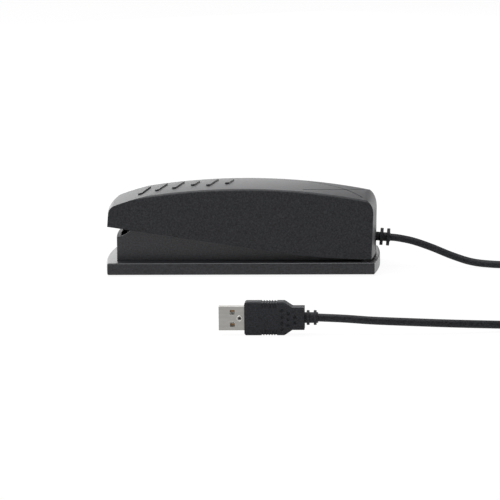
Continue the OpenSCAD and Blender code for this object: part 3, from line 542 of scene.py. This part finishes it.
pedal_black = moulded_plastic("pedal_black", *charcoal(0.65), rough=0.45, grain=0.0008, depth=0.00016)
housing_black = moulded_plastic("housing_black", *charcoal(0.95), rough=0.4, grain=0.0008, depth=0.00014,
                                gloss=0.5)
plate_black = moulded_plastic("plate_black", *charcoal(0.65), rough=0.32, grain=0.0008, depth=0.00014,
                              gloss=0.4)
grip_black = moulded_plastic("grip_black", *charcoal(0.95), rough=0.6, grain=0.0004, depth=0.00004,
                             gloss=0.15)
jacket_black = moulded_plastic("jacket_black", *charcoal(0.7), rough=0.5, grain=0.0008, depth=0.00004,
                               gloss=0.15)
foot_rubber = moulded_plastic("foot_rubber", *charcoal(0.8), rough=0.75, grain=0.0006, depth=0.00006)
tie_plastic = moulded_plastic("tie_plastic", *charcoal(0.55), rough=0.55, grain=0.0006, depth=0.00004)
switch_black = moulded_plastic("switch_black", *charcoal(0.65), rough=0.4, grain=0.0004, depth=0.00002)
# Black of the controller chip, also used as painted shade in the shell's detent.
chip_black = moulded_plastic("chip_black", *charcoal(0.6), rough=0.55, grain=0.0003, depth=0.00002)
plunger_red = moulded_plastic("plunger_red", (0.5, 0.04, 0.03), (0.58, 0.05, 0.04),
                              rough=0.4, grain=0.0004, depth=0.00001)
board_mask = moulded_plastic("board_mask", (0.02, 0.16, 0.07), (0.03, 0.22, 0.1),
                             rough=0.35, grain=0.0009, depth=0.00002)
part_tan = moulded_plastic("part_tan", (0.42, 0.34, 0.22), (0.5, 0.42, 0.28),
                           rough=0.5, grain=0.0005, depth=0.00002)
wire_red = moulded_plastic("wire_red", (0.5, 0.04, 0.04), (0.58, 0.05, 0.05),
                           rough=0.4, grain=0.0006, depth=0.00001)
wire_blue = moulded_plastic("wire_blue", (0.06, 0.12, 0.42), (0.08, 0.15, 0.5),
                            rough=0.4, grain=0.0006, depth=0.00001)
tongue_white = moulded_plastic("tongue_white", (0.72, 0.72, 0.69), (0.8, 0.8, 0.77),
                               rough=0.5, grain=0.0004, depth=0.00001)
screw_steel = plated_metal("screw_steel", (0.5, 0.5, 0.52), (0.62, 0.62, 0.63), rough=0.32)
spring_steel = plated_metal("spring_steel", (0.45, 0.45, 0.47), (0.55, 0.55, 0.56), rough=0.3)
shell_nickel = plated_metal("shell_nickel", (0.34, 0.335, 0.315), (0.42, 0.41, 0.39), rough=0.34,
                            streak=(0.15, 1, 1))
contact_gold = plated_metal("contact_gold", (0.6, 0.43, 0.2), (0.68, 0.5, 0.25), rough=0.28)
contact_bronze = plated_metal("contact_bronze", (0.2, 0.12, 0.06), (0.27, 0.17, 0.09), rough=0.35)
# A brighter copy of the shell's nickel: painted highlight on the detent's rim.
shell_painted_highlight = plated_metal("shell_painted_highlight", (0.72, 0.71, 0.68), (0.82, 0.81, 0.78), rough=0.3)

coat(lead, jacket_black)
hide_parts("cord_run", "cord_coil", "plug_run")
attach(lead, "base")

dressed("pedal_cover", "pedal_lid", "pedal", pedal_black, MOULDED_EDGE)
dressed("base_plate", "plate", "base", plate_black, PLATE_EDGE)
dressed("base_housing", "tray", "base", housing_black, MOULDED_EDGE)
dressed("rubber_feet", "feet", "base", foot_rubber)
relief = dressed("strain_relief", "heel_relief", "base", jacket_black)
grip = dressed("plug_overmould", "plug_grip", "base", grip_black, FINE_EDGE,
               cutter=grip_marks())
shell = dressed("plug_shell", "plug_sleeve", "base", shell_nickel, SHEET_EDGE)
tongue = dressed("plug_tongue", "plug_insert", "base", tongue_white, FINE_EDGE)
tie = dressed("cord_tie", "strap", "base", tie_plastic, FINE_EDGE)
ring, cup = shell_detent()

# Solids that show as they are
SOLID_MATERIALS = {
    "base_screws": screw_steel,
    "hinge_pins": screw_steel,
    "switch_body": switch_black,
    "switch_lever": screw_steel,
    "switch_plunger": plunger_red,
    "switch_terminals": contact_gold,
    "switch_screws": screw_steel,
    "circuit_board": board_mask,
    "controller_chip": chip_black,
    "board_parts": part_tan,
    "board_screws": screw_steel,
    "cord_tail": jacket_black,
    "plug_contacts": contact_bronze,
}
for node, material in SOLID_MATERIALS.items():
    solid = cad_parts[node]
    solid.data.materials.clear()
    solid.data.materials.append(material)

switch_lines = [smooth_route(points) for points in SWITCH_WIRES]
wired("switch_leads", switch_lines, WIRE_DIAMETER, "switch_wires", wire_red)
cord_lines = [smooth_route(cord_wire(i)) for i in range(CORD_WIRES)]
wired("cord_leads", cord_lines, WIRE_DIAMETER, "cord_wires", wire_blue)
spring = wired("toe_spring", [spring_route()], SPRING_WIRE, "return_spring", spring_steel)
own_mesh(spring)

lay_floor()
set_world()
hang_lamps()
bpy.context.scene.view_settings.view_transform = "Standard"
